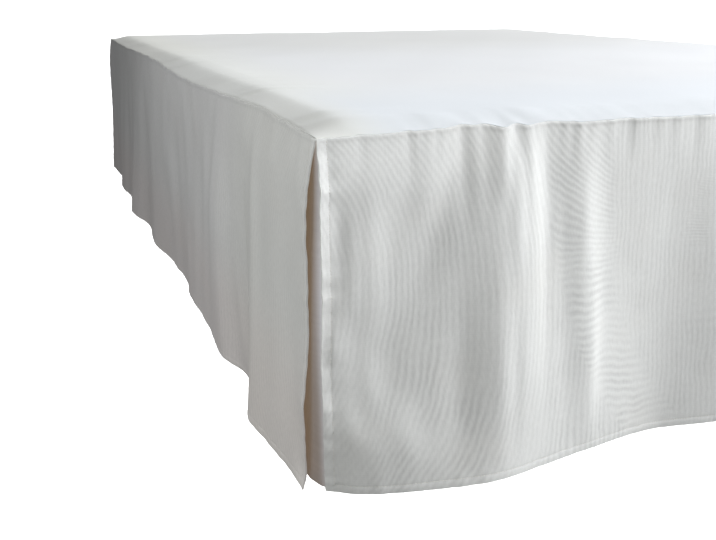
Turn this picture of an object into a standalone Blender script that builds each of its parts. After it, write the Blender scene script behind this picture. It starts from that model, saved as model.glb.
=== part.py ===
"""A split-corner bed skirt on the plain bed base that it falls over.

Metres, +Z up. The floor is z = 0 and the foot of the bed faces -Y. The origin is on
the floor under the middle of the whole footprint. Every cloth piece is a thin closed
sheet in the shape in which it hangs: a deck over the base, a panel on each long side,
one across the foot, and an underlay behind each of the two split foot corners.
"""
import math
from collections import namedtuple

import bmesh
import bpy
import numpy as np
from mathutils import Vector

# Driving sizes of the skirt.
SKIRT_WIDTH = 1.370       # seam to seam across the bed
SKIRT_LENGTH = 1.910      # foot seam to the deck's head edge
SEAM_Z = 0.391            # height of the seam that joins the panels to the deck
DROP = 0.3815             # length of a panel from its seam to its hem
CLOTH = 0.0015            # thickness of every cloth piece
GAP = 0.0003              # what sewn or resting pieces keep between them

# The deck, laid flat on the base and rounded down to the seam at its edges.
BASE_TOP = 0.400
DECK_TOP = BASE_TOP + GAP + CLOTH
DECK_EDGE = 0.065         # width of the rounded band inside the seam
DECK_EDGE_STEPS = (90, 68, 46, 24, 0)   # degrees of the rounding, seam to flat top
SEAM_LIFT = 0.5           # the seam rises this much for each unit that it slips inward

# The base and its legs.
BASE_INSET = 0.012        # from the seam in to the side of the base
BASE_EDGE = 0.063         # width of the rounding along its top
BASE_EDGE_DEPTH = 0.015
BASE_EDGE_STEPS = (90, 72, 54, 36, 18, 0)
BASE_BOTTOM = 0.190
BASE_BOTTOM_EDGE = 0.006
BASE_CORNER = 0.030       # radius of its upright corners
LEG_TOP = 0.060           # side of a square leg under the base
LEG_FOOT = 0.044          # and on the floor
LEG_EDGE = 0.006
LEG_FOOT_EDGE = 0.003
LEG_INSET = 0.130         # leg's centre in from the seams
CORNER_STEPS = 4          # facets round one upright corner
SHARP_ANGLE = math.radians(40)   # edges that turn more than this stay crisp

# How a panel hangs: its outward reach is given at these shares of the drop.
UPPER = 0.15
MIDDLE = 0.50
ROWS = (0.0, 0.06, 0.14, 0.25, 0.38, 0.52, 0.68, 0.84, 1.0)
FREE_EDGE = 0.001         # a side panel starts this far from the foot seam
FOOT_EDGE = 0.0022        # the foot panel starts this far from a side seam

# The underlay behind a split corner.
UNDERLAY_LEG = 0.170      # how far it runs behind each panel
UNDERLAY_REACH = 0.009    # how far its hem stands out past the seams
UNDERLAY_BEND = (0.004, 0.027)   # radius round the corner, at the seam and at the hem
UNDERLAY_SHARE = 0.25     # share of its columns in the bend, each way
UNDERLAY_COLUMNS = 16
UNDERLAY_ROWS = (0.0, 0.10, 0.28, 0.52, 0.76, 1.0)

# Where the seam slips in from a straight edge: along the wall, inward.
Slip = namedtuple("Slip", "along inward")
LEFT_SEAM = (
    Slip(0.00, 0.0000), Slip(0.10, 0.0028), Slip(0.24, 0.0055), Slip(0.33, 0.0018),
    Slip(0.43, -0.0020), Slip(0.66, -0.0065), Slip(1.04, 0.0003), Slip(1.20, 0.0010),
    Slip(1.50, -0.0025), Slip(1.91, 0.0000),
)
FOOT_SEAM = (
    Slip(0.00, 0.0000), Slip(0.09, 0.0020), Slip(0.21, 0.0050), Slip(0.31, 0.0018),
    Slip(0.52, -0.0015), Slip(0.80, 0.0030), Slip(1.10, -0.0010), Slip(1.37, 0.0000),
)
RIGHT_SEAM = (
    Slip(0.00, 0.0000), Slip(0.20, 0.0030), Slip(0.52, -0.0030), Slip(0.90, 0.0025),
    Slip(1.35, -0.0030), Slip(1.91, 0.0000),
)

# One upright line of a panel: where it leaves the seam, where it meets the hem, and how
# far it stands out from the straight edge above the middle, at the middle and at the hem.
Section = namedtuple("Section", "seam_at hem_at upper middle hem")
LEFT_FOLDS = (
    Section(0.001, 0.001, 0.0095, 0.0115, 0.022),   # free edge at the split
    Section(0.065, 0.045, 0.0060, 0.0125, 0.023),
    Section(0.160, 0.110, 0.0030, 0.0145, 0.031),
    Section(0.262, 0.172, 0.0000, 0.0170, 0.038),   # first crest, leaning to the foot
    Section(0.325, 0.262, 0.0005, 0.0080, 0.004),   # deep valley behind it
    Section(0.350, 0.315, 0.0020, 0.0130, 0.007),
    Section(0.400, 0.380, 0.0085, 0.0270, 0.028),   # second crest
    Section(0.500, 0.515, 0.0075, 0.0160, 0.020),
    Section(0.640, 0.642, 0.0100, 0.0145, 0.022),
    Section(0.770, 0.769, 0.0090, 0.0100, 0.011),
    Section(0.900, 0.885, 0.0090, 0.0170, 0.017),
    Section(1.060, 1.015, 0.0080, 0.0210, 0.031),   # third crest
    Section(1.170, 1.170, 0.0050, 0.0110, 0.020),
    Section(1.290, 1.300, 0.0080, 0.0220, 0.043),
    Section(1.450, 1.440, 0.0060, 0.0130, 0.022),
    Section(1.600, 1.600, 0.0080, 0.0190, 0.033),
    Section(1.750, 1.740, 0.0060, 0.0120, 0.018),
    Section(1.909, 1.909, 0.0070, 0.0130, 0.024),
)
FOOT_FOLDS = (
    Section(0.0022, 0.0022, 0.0120, 0.0100, 0.017),   # free edge at the left split
    Section(0.034, 0.030, 0.0095, 0.0130, 0.036),
    Section(0.072, 0.065, 0.0100, 0.0190, 0.050),
    Section(0.112, 0.100, 0.0100, 0.0230, 0.060),
    Section(0.155, 0.137, 0.0110, 0.0300, 0.069),
    Section(0.208, 0.180, 0.0160, 0.0420, 0.075),   # the broad crest
    Section(0.265, 0.240, 0.0080, 0.0340, 0.064),
    Section(0.330, 0.306, 0.0050, 0.0240, 0.050),
    Section(0.430, 0.410, 0.0050, 0.0150, 0.034),
    Section(0.560, 0.550, 0.0100, 0.0300, 0.057),
    Section(0.690, 0.690, 0.0060, 0.0170, 0.036),
    Section(0.820, 0.815, 0.0110, 0.0330, 0.060),
    Section(0.950, 0.945, 0.0060, 0.0150, 0.034),
    Section(1.080, 1.085, 0.0090, 0.0280, 0.054),
    Section(1.220, 1.225, 0.0080, 0.0200, 0.042),
    Section(1.310, 1.315, 0.0090, 0.0150, 0.032),
    Section(1.3678, 1.3678, 0.0110, 0.0120, 0.018),   # free edge at the right split
)
RIGHT_FOLDS = (
    Section(0.001, 0.001, 0.0100, 0.0120, 0.021),   # free edge at the split
    Section(0.090, 0.075, 0.0060, 0.0140, 0.027),
    Section(0.230, 0.215, 0.0070, 0.0200, 0.038),
    Section(0.350, 0.350, 0.0050, 0.0110, 0.015),
    Section(0.500, 0.490, 0.0080, 0.0210, 0.032),
    Section(0.660, 0.660, 0.0080, 0.0130, 0.017),
    Section(0.840, 0.825, 0.0080, 0.0200, 0.034),
    Section(1.000, 1.000, 0.0060, 0.0110, 0.018),
    Section(1.170, 1.160, 0.0080, 0.0220, 0.041),
    Section(1.350, 1.350, 0.0080, 0.0130, 0.020),
    Section(1.530, 1.520, 0.0080, 0.0180, 0.032),
    Section(1.720, 1.720, 0.0060, 0.0110, 0.017),
    Section(1.909, 1.909, 0.0070, 0.0130, 0.024),
)

# Columns of each panel at the hem: from, to and how far apart.
Band = namedtuple("Band", "start end pitch")
LEFT_COLUMNS = (Band(0.001, 0.441, 0.020), Band(0.441, 1.909, 0.0386))
FOOT_COLUMNS = (Band(0.0022, 0.3222, 0.020), Band(0.3222, 1.3678, 0.0387))
RIGHT_COLUMNS = (Band(0.001, 1.909, 0.0424),)

FOOT_Y = (max(fold.hem for fold in FOOT_FOLDS) - SKIRT_LENGTH) / 2   # the foot seam
HEAD_Y = FOOT_Y + SKIRT_LENGTH
MIDDLE_Y = (FOOT_Y + HEAD_Y) / 2
HEAD_COLUMNS = 12         # pieces of the deck's straight head edge

# A wall of the skirt: its seam's corner, the way it runs, the way it faces.
Wall = namedtuple("Wall", "corner run out length seam folds columns")
LEFT = Wall(Vector((-SKIRT_WIDTH / 2, FOOT_Y, 0)), Vector((0, 1, 0)), Vector((-1, 0, 0)),
            SKIRT_LENGTH, LEFT_SEAM, LEFT_FOLDS, LEFT_COLUMNS)
RIGHT = Wall(Vector((SKIRT_WIDTH / 2, FOOT_Y, 0)), Vector((0, 1, 0)), Vector((1, 0, 0)),
             SKIRT_LENGTH, RIGHT_SEAM, RIGHT_FOLDS, RIGHT_COLUMNS)
FOOT = Wall(Vector((-SKIRT_WIDTH / 2, FOOT_Y, 0)), Vector((1, 0, 0)), Vector((0, -1, 0)),
            SKIRT_WIDTH, FOOT_SEAM, FOOT_FOLDS, FOOT_COLUMNS)

# A point of the deck's edge: on the straight seam, how far it slips in and how it lifts.
Station = namedtuple("Station", "place shift lift")

# Colours: red, green, blue, roughness.
DECK_WHITE = (0.80, 0.82, 0.86, 0.90)
PANEL_IVORY = (0.76, 0.75, 0.71, 0.88)
UNDERLAY_IVORY = (0.70, 0.68, 0.64, 0.88)
BASE_GREY = (0.46, 0.44, 0.41, 0.92)
LEG_WOOD = (0.16, 0.10, 0.06, 0.55)


# ---------------------------------------------------------------- curves and tables

def tangents(places, values):
    """Slopes at the rows of a table, flat at each high or low so nothing overshoots."""
    steps = np.diff(values) / np.diff(places)
    inner = [0.0 if a * b <= 0 else 2 * a * b / (a + b) for a, b in zip(steps, steps[1:])]
    return [steps[0], *inner, steps[-1]]


def smooth(place, places, values):
    """The value at a place on the soft curve through a table's rows."""
    slopes = tangents(places, values)
    last = len(places) - 2
    row = int(np.clip(np.searchsorted(places, place) - 1, 0, last))
    width = places[row + 1] - places[row]
    t = (place - places[row]) / width
    return ((1 + 2 * t) * (1 - t) ** 2 * values[row]
            + t * (1 - t) ** 2 * width * slopes[row]
            + t * t * (3 - 2 * t) * values[row + 1]
            + t * t * (t - 1) * width * slopes[row + 1])


def column_of(table, name):
    return [getattr(row, name) for row in table]


def blend(start, end, share):
    return start + (end - start) * share


def seam_slip(wall, along):
    return smooth(along, column_of(wall.seam, "along"), column_of(wall.seam, "inward"))


def columns(wall):
    """Hem places of a panel's columns, from one free edge to the other."""
    places = []
    for band in wall.columns:
        count = round((band.end - band.start) / band.pitch)
        places += [blend(band.start, band.end, i / count) for i in range(count)]
    return places + [wall.columns[-1].end]


def seam_place(wall, column):
    return smooth(column, column_of(wall.folds, "hem_at"), column_of(wall.folds, "seam_at"))


# ---------------------------------------------------------------- meshes

def material(name, colour):
    made = bpy.data.materials.new(name)
    made.use_nodes = True
    shader = made.node_tree.nodes["Principled BSDF"]
    shader.inputs["Base Color"].default_value = (*colour[:3], 1.0)
    shader.inputs["Roughness"].default_value = colour[3]
    shader.inputs["Metallic"].default_value = 0.0
    return made


def add_object(name, points, faces, colour):
    """One closed mesh as a named object with its own material, shaded smooth."""
    mesh = bpy.data.meshes.new(name)
    mesh.from_pydata([tuple(point) for point in points], [], faces)
    tidy = bmesh.new()
    tidy.from_mesh(mesh)
    bmesh.ops.recalc_face_normals(tidy, faces=tidy.faces)
    tidy.to_mesh(mesh)
    tidy.free()
    mesh.shade_smooth()
    mesh.set_sharp_from_angle(angle=SHARP_ANGLE)
    mesh.materials.append(material(name + "_finish", colour))
    made = bpy.data.objects.new(name, mesh)
    bpy.context.collection.objects.link(made)
    return made


def two_triangles(a, b, c, d):
    return [(a, b, c), (a, c, d)]


def sheet(name, front, back, colour):
    """A thin closed sheet between two grids of points, each a list of rows."""
    rows = len(front)
    width = len(front[0])
    points = [point for grid in (front, back) for row in grid for point in row]
    behind = rows * width
    faces = []
    for r in range(rows - 1):
        for c in range(width - 1):
            a = r * width + c
            corners = (a, a + 1, a + width + 1, a + width)
            faces += two_triangles(*corners)
            faces += [tuple(behind + i for i in reversed(face))
                      for face in two_triangles(*corners)]
    across = [range(width), range((rows - 1) * width, rows * width)]
    down = [range(0, rows * width, width), range(width - 1, rows * width, width)]
    for rim in across + down:
        for a, b in zip(rim, rim[1:]):
            faces += two_triangles(a, b, behind + b, behind + a)
    return add_object(name, points, faces, colour)


def loft(name, rings, colour):
    """A closed solid through level rings of equal count, capped at both ends."""
    width = len(rings[0])
    points = [point for ring in rings for point in ring]
    faces = [tuple(range(width)), tuple(range((len(rings) - 1) * width, len(points)))]
    for r in range(len(rings) - 1):
        for c in range(width):
            a = r * width + c
            b = r * width + (c + 1) % width
            faces += two_triangles(a, b, b + width, a + width)
    return add_object(name, points, faces, colour)


def rounded_ring(half_x, half_y, radius, z):
    """A level rectangle about the origin with rounded corners."""
    ring = []
    for quarter, (sx, sy) in enumerate(((1, 1), (-1, 1), (-1, -1), (1, -1))):
        for step in range(CORNER_STEPS + 1):
            angle = math.radians(90 * (quarter + step / CORNER_STEPS))
            ring.append(Vector((sx * (half_x - radius) + radius * math.cos(angle),
                                sy * (half_y - radius) + radius * math.sin(angle), z)))
    return ring


# ---------------------------------------------------------------- the cloth

def panel_point(wall, column, share):
    """A point of a panel's face: its column at the hem and its share of the drop."""
    hem_places = column_of(wall.folds, "hem_at")
    seam_at = seam_place(wall, column)
    slip = seam_slip(wall, seam_at)
    reach = [-slip] + [smooth(column, hem_places, column_of(wall.folds, name))
                       for name in ("upper", "middle", "hem")]
    outward = smooth(share, (0.0, UPPER, MIDDLE, 1.0), reach)
    top_z = SEAM_Z - GAP + SEAM_LIFT * slip
    hem_z = SEAM_Z - math.sqrt(DROP ** 2 - reach[-1] ** 2)
    point = wall.corner + wall.run * blend(seam_at, column, share) + wall.out * outward
    point.z = blend(top_z, hem_z, share)
    return point


def panel(name, wall):
    front = [[panel_point(wall, column, share) for column in columns(wall)] for share in ROWS]
    back = [[point - wall.out * CLOTH for point in row] for row in front]
    return sheet(name, front, back, PANEL_IVORY)


def underlay_point(side, sign, turn, share, depth):
    """A point of a corner underlay. turn runs from -1, along the side, to 1, along the foot.

    Local x runs from the corner along the foot and local y along the side, so a piece
    that stands out past a seam has a negative coordinate. depth goes into the cloth.
    """
    radius = blend(*UNDERLAY_BEND, share) - depth
    on_side = turn < 0
    away = max(0.0, (abs(turn) - UNDERLAY_SHARE) / (1 - UNDERLAY_SHARE))
    along = blend(0.0, UNDERLAY_LEG, away)
    wall = side if on_side else FOOT
    place = along if on_side or sign > 0 else SKIRT_WIDTH - along
    slip = seam_slip(wall, place)
    under = slip + CLOTH + GAP
    inward = blend(under, -UNDERLAY_REACH, share) + depth
    middle = inward + radius
    if away > 0:
        reach = blend(middle, UNDERLAY_LEG, away)
        x, y = (inward, reach) if on_side else (reach, inward)
    else:
        angle = math.radians(45 * (1 + turn / UNDERLAY_SHARE))
        x = middle - radius * math.cos(angle)
        y = middle - radius * math.sin(angle)
    top_z = SEAM_Z - GAP + SEAM_LIFT * slip
    hem_z = SEAM_Z - DROP
    return Vector((sign * (x - SKIRT_WIDTH / 2), FOOT_Y + y, blend(top_z, hem_z, share)))


def corner_underlay(name, side, sign):
    turns = [blend(-1, 1, i / UNDERLAY_COLUMNS) for i in range(UNDERLAY_COLUMNS + 1)]
    front, back = [[[underlay_point(side, sign, turn, share, depth) for turn in turns]
                    for share in UNDERLAY_ROWS] for depth in (0.0, CLOTH)]
    return sheet(name, front, back, UNDERLAY_IVORY)


def wall_stations(wall):
    """The deck's edge over one wall, corner to corner, level with the panel's columns."""
    inner = [seam_place(wall, column) for column in columns(wall)][1:-1]
    stations = []
    for along in (0.0, *inner, wall.length):
        slip = seam_slip(wall, along)
        place = wall.corner + wall.run * along
        stations.append(Station(place, wall.out * -slip, SEAM_LIFT * slip))
    return stations


def head_stations():
    """The straight head edge from right to left, short of both corners."""
    half = SKIRT_WIDTH / 2
    places = [blend(half, -half, i / HEAD_COLUMNS) for i in range(1, HEAD_COLUMNS)]
    return [Station(Vector((x, HEAD_Y, 0)), Vector((0, 0, 0)), 0.0) for x in places]


def deck_stations():
    """Once round the deck's edge, from the left foot corner along the foot."""
    return (wall_stations(FOOT) + wall_stations(RIGHT)[1:]
            + head_stations() + wall_stations(LEFT)[:0:-1])


def deck_ring(stations, angle, depth):
    """The deck's rounded edge at one angle, on its face (depth 0) or its underside."""
    seamward = math.sin(math.radians(angle))
    inset = DECK_EDGE - (DECK_EDGE - depth) * seamward
    height = SEAM_Z + (DECK_TOP - SEAM_Z - depth) * math.cos(math.radians(angle))
    shrink_x = 1 - 2 * inset / SKIRT_WIDTH
    shrink_y = 1 - 2 * inset / SKIRT_LENGTH
    ring = []
    for place, shift, lift in stations:
        straight = Vector((place.x * shrink_x, MIDDLE_Y + (place.y - MIDDLE_Y) * shrink_y, height))
        ring.append(straight + (shift + Vector((0, 0, lift))) * seamward)
    return ring


def deck():
    stations = deck_stations()
    face = [deck_ring(stations, angle, 0.0) for angle in reversed(DECK_EDGE_STEPS)]
    underside = [deck_ring(stations, angle, CLOTH) for angle in DECK_EDGE_STEPS]
    return loft("deck", face + underside, DECK_WHITE)


# ---------------------------------------------------------------- the base

def bed_base():
    half_x = SKIRT_WIDTH / 2 - BASE_INSET
    half_y = SKIRT_LENGTH / 2 - BASE_INSET
    soft = BASE_BOTTOM_EDGE
    rings = [rounded_ring(half_x - soft, half_y - soft, BASE_CORNER - soft, BASE_BOTTOM),
             rounded_ring(half_x, half_y, BASE_CORNER, BASE_BOTTOM + soft)]
    for angle in BASE_EDGE_STEPS:
        turn = math.radians(angle)
        inset = BASE_EDGE * (1 - math.sin(turn))
        z = BASE_TOP - BASE_EDGE_DEPTH * (1 - math.cos(turn))
        rings.append(rounded_ring(half_x - inset, half_y - inset, BASE_CORNER, z))
    base = loft("bed_base", rings, BASE_GREY)
    base.location = (0, MIDDLE_Y, 0)
    return base


def leg(name, x, y):
    rings = [rounded_ring(LEG_FOOT / 2 - LEG_FOOT_EDGE, LEG_FOOT / 2 - LEG_FOOT_EDGE,
                          LEG_EDGE - LEG_FOOT_EDGE, 0.0),
             rounded_ring(LEG_FOOT / 2, LEG_FOOT / 2, LEG_EDGE, LEG_FOOT_EDGE),
             rounded_ring(LEG_TOP / 2, LEG_TOP / 2, LEG_EDGE, BASE_BOTTOM - GAP)]
    made = loft(name, rings, LEG_WOOD)
    made.location = (x, y, 0)
    return made


def legs():
    near = FOOT_Y + LEG_INSET
    far = HEAD_Y - LEG_INSET
    across = SKIRT_WIDTH / 2 - LEG_INSET
    for row, y in (("foot", near), ("middle", (near + far) / 2), ("head", far)):
        leg(f"leg_{row}_left", -across, y)
        leg(f"leg_{row}_right", across, y)


def main():
    for old in list(bpy.data.objects):
        bpy.data.objects.remove(old)
    bed_base()
    legs()
    deck()
    panel("side_panel_left", LEFT)
    panel("side_panel_right", RIGHT)
    panel("foot_panel", FOOT)
    corner_underlay("corner_underlay_left", LEFT, 1)
    corner_underlay("corner_underlay_right", RIGHT, -1)


main()
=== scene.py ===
"""Looks of a split-corner bed skirt on its bed base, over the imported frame.

Metres, in the frame's own axes: the foot of the bed faces -Y. Each cloth piece is
rebuilt as a fine thin sheet on its solid's folds, from the same tables apart from
what is noted, with its creases, gathers, hems and stitches added.
"""
import math
from collections import namedtuple
from functools import partialmethod

import bpy
import numpy as np
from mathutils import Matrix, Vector


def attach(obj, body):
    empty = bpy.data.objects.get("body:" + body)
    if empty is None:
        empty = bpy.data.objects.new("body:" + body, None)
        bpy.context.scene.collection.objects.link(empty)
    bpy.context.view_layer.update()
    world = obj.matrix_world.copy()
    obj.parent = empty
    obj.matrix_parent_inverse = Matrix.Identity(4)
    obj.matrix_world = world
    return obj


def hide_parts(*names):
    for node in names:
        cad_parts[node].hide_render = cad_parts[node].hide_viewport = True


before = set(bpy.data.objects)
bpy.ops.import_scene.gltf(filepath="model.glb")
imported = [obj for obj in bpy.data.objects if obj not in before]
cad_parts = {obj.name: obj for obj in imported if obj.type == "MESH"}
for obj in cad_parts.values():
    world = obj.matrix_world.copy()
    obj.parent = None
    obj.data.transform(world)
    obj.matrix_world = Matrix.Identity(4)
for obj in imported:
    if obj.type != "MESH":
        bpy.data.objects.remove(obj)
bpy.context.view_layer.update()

# -------- sizes shared with the solids

SKIRT_WIDTH = 1.370
SKIRT_LENGTH = 1.910
SEAM_Z = 0.391
DROP = 0.3815
CLOTH = 0.0011  # the fine sheets are a little thinner than their solids
GAP = 0.0003
BASE_TOP = 0.400
SOLID_CLOTH = 0.0015  # the solids' thickness
DECK_TOP = BASE_TOP + GAP + SOLID_CLOTH
DECK_EDGE = 0.065
SEAM_LIFT = 0.5  # the seam rises by this share of its slip
BASE_INSET = 0.012
BASE_EDGE = 0.063
BASE_EDGE_DEPTH = 0.015
BASE_BOTTOM = 0.190
BASE_SEAM = 0.024  # a sewn line this far above the bottom
BASE_CORNER = 0.030
UPPER = 0.15
MIDDLE = 0.50
UNDERLAY_LEG = 0.170
UNDERLAY_REACH = 0.009
UNDERLAY_BEND = (0.010, 0.027)  # wider at the seam than its solid's
UNDERLAY_SHARE = 0.25
UNDERLAY_BEHIND = 0.0018  # an underlay hangs this far behind the seams


def in_metres(kind, *rows):
    """A table whose rows are given in millimetres, apart from shares of the drop."""
    return tuple(kind(*(cell if "share" in field else cell / 1000
                        for field, cell in zip(kind._fields, row))) for row in rows)


# Where the seam slips in from a straight edge: along the wall, inward.
Slip = namedtuple("Slip", "along inward")
LEFT_SEAM = in_metres(Slip,
    (0, 0), (100, 2.8), (240, 5.5), (330, 1.8), (430, -2), (660, -6.5), (1040, 0.3), (1200, 1),
    (1500, -2.5), (1910, 0),
)
FOOT_SEAM = in_metres(Slip,
    (0, 0), (90, 2), (210, 5), (310, 1.8), (520, -1.5), (800, 3), (1100, -1), (1370, 0),
)
RIGHT_SEAM = in_metres(Slip,
    (0, 0), (200, 3), (520, -3), (900, 2.5), (1350, -3), (1910, 0),
)

# One upright line of a panel: where it leaves the seam, where it meets the hem, and how
# far it stands out from the straight edge above the middle, at the middle and at the hem.
# The left panel's rows up to its second crest are fuller at the top than its solid's.
Section = namedtuple("Section", "seam_at hem_at upper middle hem")
LEFT_FOLDS = in_metres(Section,
    (1, 1, 9.5, 11.5, 22),  # free edge at the split
    (65, 45, 7.5, 12.5, 23), (135, 110, 7, 14.5, 31),
    (216, 172, 6.5, 17, 38),  # first crest, leaning to the foot
    (285, 262, 4.5, 8, 4),  # deep valley behind it
    (338, 315, 4.5, 13, 7),
    (400, 380, 8.5, 27, 28),  # second crest
    (500, 515, 7.5, 16, 20), (640, 642, 10, 14.5, 22), (770, 769, 9, 10, 11),
    (900, 885, 9, 17, 17),
    (1060, 1015, 8, 21, 31),  # third crest
    (1170, 1170, 5, 11, 20), (1290, 1300, 8, 22, 43), (1450, 1440, 6, 13, 22),
    (1600, 1600, 8, 19, 33), (1750, 1740, 6, 12, 18), (1909, 1909, 7, 13, 24),
)
FOOT_FOLDS = in_metres(Section,
    (2.2, 2.2, 12, 10, 17),  # free edge at the left split
    (34, 30, 9.5, 13, 36), (72, 65, 10, 19, 50), (112, 100, 10, 23, 60), (155, 137, 11, 30, 69),
    (208, 180, 16, 42, 75),  # the broad crest
    (265, 240, 8, 34, 64), (330, 306, 5, 24, 50), (430, 410, 5, 15, 34), (560, 550, 10, 30, 57),
    (690, 690, 6, 17, 36), (820, 815, 11, 33, 60), (950, 945, 6, 15, 34), (1080, 1085, 9, 28, 54),
    (1220, 1225, 8, 20, 42), (1310, 1315, 9, 15, 32),
    (1367.8, 1367.8, 11, 12, 18),  # free edge at the right split
)
RIGHT_FOLDS = in_metres(Section,
    (1, 1, 10, 12, 21),  # free edge at the split
    (90, 75, 6, 14, 27), (230, 215, 7, 20, 38), (350, 350, 5, 11, 15), (500, 490, 8, 21, 32),
    (660, 660, 8, 13, 17), (840, 825, 8, 20, 34), (1000, 1000, 6, 11, 18), (1170, 1160, 8, 22, 41),
    (1350, 1350, 8, 13, 20), (1530, 1520, 8, 18, 32), (1720, 1720, 6, 11, 17),
    (1909, 1909, 7, 13, 24),
)
FOOT_Y = (max(fold.hem for fold in FOOT_FOLDS) - SKIRT_LENGTH) / 2
MIDDLE_Y = FOOT_Y + SKIRT_LENGTH / 2

# -------- creases

# A soft ridge (height > 0) or trough down a panel, from one point of the drop to
# another: along the wall and share of the drop at both ends, half-width, height.
Crease = namedtuple("Crease", "at share to_at to_share width height")
FOOT_CREASES = in_metres(Crease,
    (46, 0, 45, 0.1, 5, -1.1), (100, 0, 99, 0.13, 5, -1.6), (147, 0, 143, 0.22, 7, -0.9),
    (162, 0, 158, 0.3, 9, -3.1), (184, 0, 181, 0.22, 6, -1), (205, 0, 200, 0.2, 6, 3.9),
    (213, 0, 207, 0.34, 9, 1.8), (226, 0, 225, 0.13, 6, -1.1), (238, 0, 236, 0.25, 8, 2.9),
    (271, 0, 268, 0.3, 10, -1.1), (292, 0, 290, 0.16, 8, -0.7), (158, 0.05, 75, 0.6, 22, -5.4),
    (213, 0.05, 195, 0.75, 16, 2), (200, 0.55, 180, 1, 18, 2.5), (150, 0.55, 128, 1, 18, -3.7),
    (243, 0.02, 240, 0.8, 14, 2.1), (305, 0.02, 315, 0.75, 20, 5.2), (55, 0.1, 60, 0.5, 18, -2.1),
    (28, 0.22, 32, 0.5, 12, 2.8), (95, 0.12, 85, 0.45, 20, -3.8), (115, 0.1, 105, 0.5, 20, 0.8),
    (65, 0.5, 60, 0.85, 20, -2.2), (15, 0.75, 60, 1, 22, 4.1), (70, 0.75, 85, 1, 22, 4.4),
    (0, 0.86, 120, 0.98, 20, -0.7), (232, 0.05, 228, 0.95, 10, 2), (257, 0.05, 250, 0.95, 10, -2),
    (275, 0.05, 270, 0.95, 10, -1.1), (301, 0.3, 297, 1, 16, 2.6), (22, 0.18, 24, 0.4, 8, -3.2),
    (52, 0.12, 50, 0.55, 12, 2.1), (75, 0.2, 75, 0.6, 12, -1.8), (203, 0.55, 200, 0.88, 10, -1.3),
    (213, 0.2, 213, 0.55, 8, 1.1), (45, 0.6, 55, 0.95, 14, 2), (20, 0.45, 22, 0.72, 10, 2.1),
    (318, 0.45, 318, 1, 12, 2), (311, 0.6, 311, 1, 18, 3.2), (262, 0.02, 262, 0.45, 7, -1.2),
    (222, 0.05, 216, 0.5, 8, 2.4), (222, 0.45, 212, 1, 8, 1.6), (197, 0.02, 190, 0.3, 7, 1.7),
    (35, 0.03, 30, 0.2, 12, 0.4), (14, 0.52, 12, 0.68, 6, 2.1), (12, 0.72, 18, 0.85, 7, -1.2),
    (12, 0.02, 12, 0.18, 8, -2.4), (33, 0.38, 34, 0.52, 7, 0.9), (231, 0, 230, 0.08, 5, 0.5),
    (250, 0, 249, 0.08, 5, 1.2), (60, 0.02, 58, 0.24, 22, 1.6),
)
LEFT_CREASES = in_metres(Crease,
    (120, 0.1, 100, 1, 30, 1), (165, 0.1, 140, 0.95, 24, 0.5), (222, 0.12, 200, 0.62, 18, 3.5),
    (255, 0.12, 235, 0.62, 18, 1.5), (295, 0.12, 275, 0.62, 20, 0.3),
    (335, 0.12, 315, 0.62, 22, 1.8), (250, 0.45, 215, 1, 20, 2.2), (290, 0.45, 255, 1, 20, 2.2),
    (330, 0.45, 300, 1, 22, 2.2), (380, 0.45, 360, 1, 24, -2.2), (460, 0.1, 455, 1, 30, -1.8),
    (540, 0.1, 535, 1, 35, -2), (620, 0.1, 620, 1, 40, -2.2), (720, 0.1, 720, 1, 45, -0.5),
    (830, 0.1, 825, 1, 45, 1.7), (950, 0.1, 920, 1, 40, -1.5), (1060, 0.1, 1010, 1, 40, -1.3),
    (1200, 0.1, 1190, 1, 50, 2.2),
)

# How far a panel's free edge at the split strays from its straight line, down the drop.
Sway = namedtuple("Sway", "share along out")
LEFT_SWAY = in_metres(Sway,
    (0, 0, 1), (0.06, 0, 0.5), (0.12, 0, 0.8), (0.2, 0, 2.4), (0.26, 0, 2.6), (0.33, 0, 1.1),
    (0.42, 0, 0.1), (0.54, 0, -1.4), (0.62, 0, -0.3), (0.68, 0, 1), (0.75, 0, 2.2), (0.8, 0, 0.6),
    (0.85, 0, -0.8), (0.89, 0, -2.3), (0.95, 0, -4.5), (1, 0, -1.1),
)
FOOT_SWAY = in_metres(Sway,
    (0, -1.5, 0), (0.1, -2.6, 0), (0.2, -3.6, 0), (0.34, -2.6, 0), (0.46, -2.2, 0), (0.6, -3.8, 0),
    (0.74, -4, 0), (0.88, -4.2, -1), (1, -2.8, -2.8),
)
SWAY_REACH = 0.040

# Seeded gathers past the listed ones, and the cloth's own soft unevenness.
GATHER_STEP = (0.035, 0.095)  # least and most between two gathers
GATHER_HEIGHT = (0.0006, 0.0016)
GATHER_SHARE = (0.08, 0.20)  # how far down the drop they run
GATHER_WIDTH = (0.006, 0.012)
GATHER_DRIFT = 0.006  # most that one leans to either side
SOFT_WAVES = 14
SOFT_LENGTHS = (0.30, 0.07)
SOFT_HEIGHT = 0.0011
SCALLOP_LENGTHS = (0.034, 0.014)
RIPPLE_LENGTHS = (0.030, 0.009)
SCALLOP_SEED, DECK_SEED, BASE_SEED = 53, 71, 91

# -------- sewing

HEM = 0.0088  # stitched depth of a hem
HEM_THICKER = 0.6  # a hem's added share of thickness
HEM_PUFF = 0.0003  # the folded hem stands this proud between stitches and edge
STITCH_DENT = 0.00018
STITCH_DENT_WIDTH = 0.0009
HEM_PUCKER = 0.00035  # height of the small puckers beside a stitched line
SIDE_PUCKER = 0.00070  # they are taller along the foot's side hems
# How far the foot's side hems turn out, and where down them; the side panels' are even.
HEM_FLARE = (0.0006, 0.0020, 0.0033, 0.0028, 0.0027, 0.0011, 0.0006)
HEM_FLARE_AT = (0.00, 0.12, 0.30, 0.46, 0.62, 0.80, 1.00)
SIDE_FLARE = 0.0011
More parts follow.
